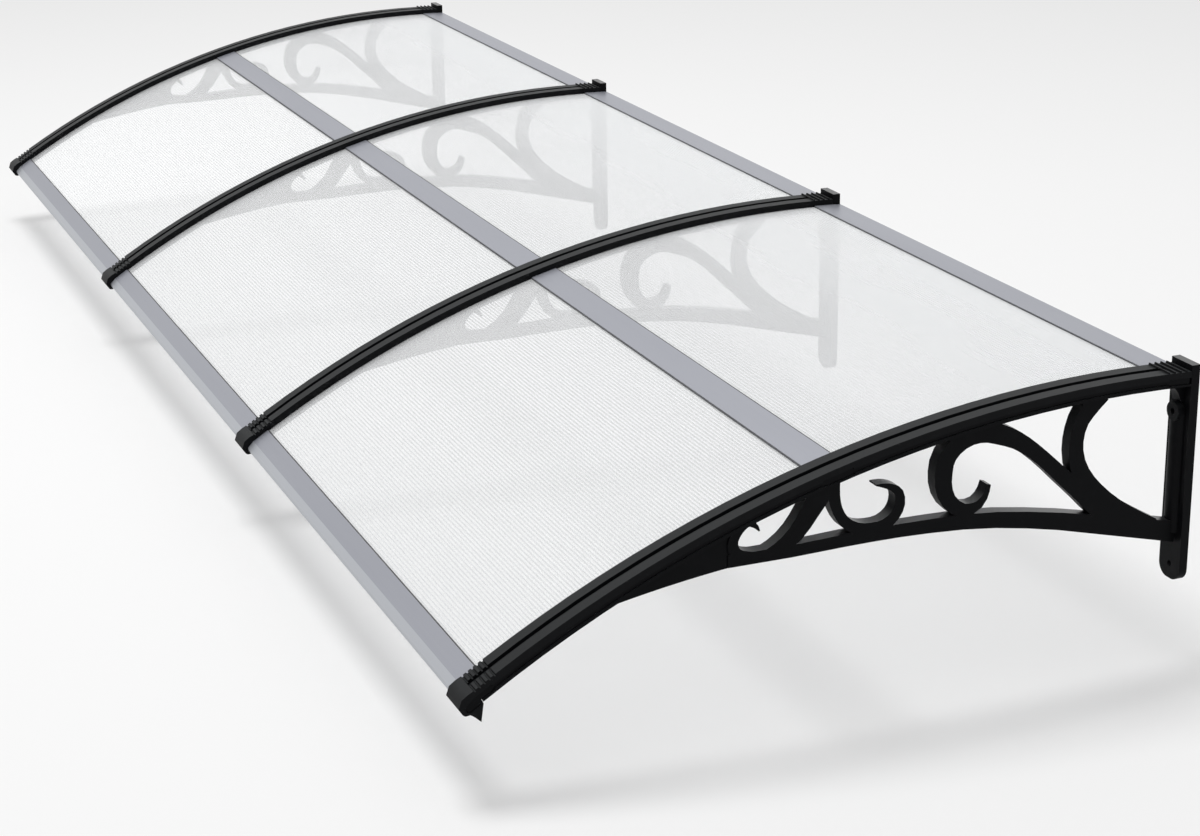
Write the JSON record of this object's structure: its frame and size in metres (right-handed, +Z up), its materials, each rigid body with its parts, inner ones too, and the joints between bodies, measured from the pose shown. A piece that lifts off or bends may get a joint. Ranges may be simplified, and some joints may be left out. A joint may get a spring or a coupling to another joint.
{
  "type": "door canopy",
  "caption": "Long arched door canopy: clear twin-wall sheets between silver bars, carried on black scrolled wall brackets with ribbed cover strips and hooked noses.",
  "frame": {"origin": "on the wall plane, in the middle of the centre rear bar's back face", "axes": "+X along the wall, -Y away from the wall, +Z up"},
  "size_m": [3, 1, 0.3085],
  "materials": {
    "bracket_black": "satin moulded",
    "strip_black": "satin moulded",
    "bar_aluminium": "satin anodised",
    "sheet_clear": "translucent twin-wall polycarbonate",
    "screw_zinc": "zinc plated"
  },
  "bodies": {
    "root": {"bracket_1": "bracket_black", "bracket_2": "bracket_black", "bracket_3": "bracket_black", "bracket_4": "bracket_black", "cover_strip_1": "strip_black", "cover_strip_2": "strip_black", "cover_strip_3": "strip_black", "cover_strip_4": "strip_black", "clamp_screw_1_1": "screw_zinc", "clamp_screw_1_2": "screw_zinc", "clamp_screw_1_3": "screw_zinc", "clamp_screw_1_4": "screw_zinc", "clamp_screw_1_5": "screw_zinc", "clamp_screw_2_1": "screw_zinc", "clamp_screw_2_2": "screw_zinc", "clamp_screw_2_3": "screw_zinc", "clamp_screw_2_4": "screw_zinc", "clamp_screw_2_5": "screw_zinc", "clamp_screw_3_1": "screw_zinc", "clamp_screw_3_2": "screw_zinc", "clamp_screw_3_3": "screw_zinc", "clamp_screw_3_4": "screw_zinc", "clamp_screw_3_5": "screw_zinc", "clamp_screw_4_1": "screw_zinc", "clamp_screw_4_2": "screw_zinc", "clamp_screw_4_3": "screw_zinc", "clamp_screw_4_4": "screw_zinc", "clamp_screw_4_5": "screw_zinc", "rear_bar_1": "bar_aluminium", "middle_bar_1": "bar_aluminium", "front_bar_1": "bar_aluminium", "rear_sheet_1": "sheet_clear", "front_sheet_1": "sheet_clear", "rear_bar_2": "bar_aluminium", "middle_bar_2": "bar_aluminium", "front_bar_2": "bar_aluminium", "rear_sheet_2": "sheet_clear", "front_sheet_2": "sheet_clear", "rear_bar_3": "bar_aluminium", "middle_bar_3": "bar_aluminium", "front_bar_3": "bar_aluminium", "rear_sheet_3": "sheet_clear", "front_sheet_3": "sheet_clear", "side_filler_1": "strip_black", "side_filler_2": "strip_black"}
  },
  "joints": []
}
